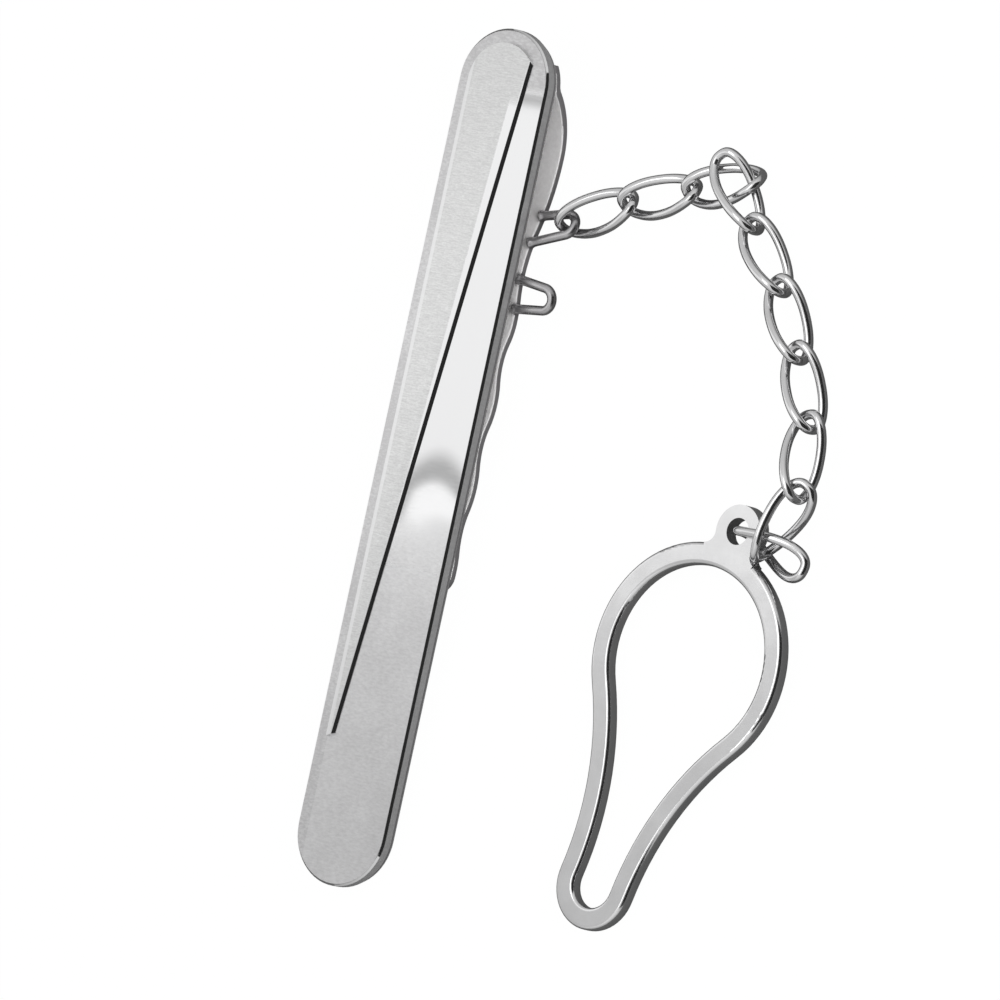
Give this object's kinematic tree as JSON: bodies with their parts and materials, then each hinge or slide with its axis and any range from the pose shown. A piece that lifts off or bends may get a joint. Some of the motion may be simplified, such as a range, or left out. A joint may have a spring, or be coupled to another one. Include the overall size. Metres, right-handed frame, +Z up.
{
  "type": "tie clip",
  "caption": "Round-ended tie bar with a raised brushed panel, a humped and waved spring tongue behind it, and a twisted-link chain ending in a pear-shaped button loop.",
  "frame": {"origin": "middle of the bar's back face, where the tie lies", "axes": "+X along the bar towards its fold end, -Y towards the chain, +Z up out of the front face, with the clip lying face up on a table"},
  "size_m": [0.0579, 0.036, 0.0045],
  "materials": {
    "polished": "polished silver-coloured plating",
    "brushed": "matte, brushed across",
    "strip": "satin sprung strip"
  },
  "bodies": {
    "tongue": {"spring_tongue": "strip", "chain_bow": "polished", "spare_bow": "polished"},
    "bar": {"front_plate": "polished", "brushed_panel": "brushed", "back_plate": "polished"},
    "link_01": {"chain_link_01": "polished"},
    "link_02": {"chain_link_02": "polished"},
    "link_03": {"chain_link_03": "polished"},
    "link_04": {"chain_link_04": "polished"},
    "link_05": {"chain_link_05": "polished"},
    "link_06": {"chain_link_06": "polished"},
    "link_07": {"chain_link_07": "polished"},
    "link_08": {"chain_link_08": "polished"},
    "link_09": {"chain_link_09": "polished"},
    "link_10": {"chain_link_10": "polished"},
    "loop": {"button_loop": "polished"}
  },
  "joints": [
    {"name": "clip_open", "type": "hinge", "parent": "tongue", "child": "bar", "pos_m": [0.02717, 0, 0.00136], "axis": [0, 1, 0], "range_deg": [0, 6], "stiffness_Nm_per_rad": 0.3},
    {"name": "link_01_swing", "type": "hinge", "parent": "tongue", "child": "link_01", "pos_m": [0.01714, -0.00592, -0.00038], "axis": [0, 0, 1], "range_deg": [-10, 5]},
    {"name": "link_02_swing", "type": "hinge", "parent": "link_01", "child": "link_02", "pos_m": [0.01932, -0.01049, -0.00047], "axis": [0, 0, -1], "range_deg": [-34, 12]},
    {"name": "link_03_swing", "type": "hinge", "parent": "link_02", "child": "link_03", "pos_m": [0.02091, -0.01529, -0.00059], "axis": [0, 0, 1], "range_deg": [-10, 34]},
    {"name": "link_04_swing", "type": "hinge", "parent": "link_03", "child": "link_04", "pos_m": [0.0232, -0.01773, 0], "axis": [0, 0, -1], "range_deg": [-1.5, 14]},
    {"name": "link_05_swing", "type": "hinge", "parent": "link_04", "child": "link_05", "pos_m": [0.01942, -0.02106, -0.00015], "axis": [0, 0, 1], "range_deg": [-14, 30]},
    {"name": "link_06_swing", "type": "hinge", "parent": "link_05", "child": "link_06", "pos_m": [0.01585, -0.02439, -0.00018], "axis": [0, 0, -1], "range_deg": [-34, 18]},
    {"name": "link_07_swing", "type": "hinge", "parent": "link_06", "child": "link_07", "pos_m": [0.01183, -0.02709, -0.00022], "axis": [0, 0, 1], "range_deg": [-20, 28]},
    {"name": "link_08_swing", "type": "hinge", "parent": "link_07", "child": "link_08", "pos_m": [0.00762, -0.02943, 0.0004], "axis": [0, 0, -1], "range_deg": [-28, 10]},
    {"name": "link_09_swing", "type": "hinge", "parent": "link_08", "child": "link_09", "pos_m": [0.00295, -0.03086, 0.00049], "axis": [0, 0, 1], "range_deg": [-6, 20]},
    {"name": "link_10_swing", "type": "hinge", "parent": "link_09", "child": "link_10", "pos_m": [-0.00109, -0.02876, -0.00011], "axis": [0, 0, -1], "range_deg": [-8, 26]},
    {"name": "loop_swing", "type": "hinge", "parent": "link_10", "child": "loop", "pos_m": [-0.00041, -0.02636, -0.00061], "axis": [0, 0, 1], "range_deg": [-28, 4]}
  ]
}
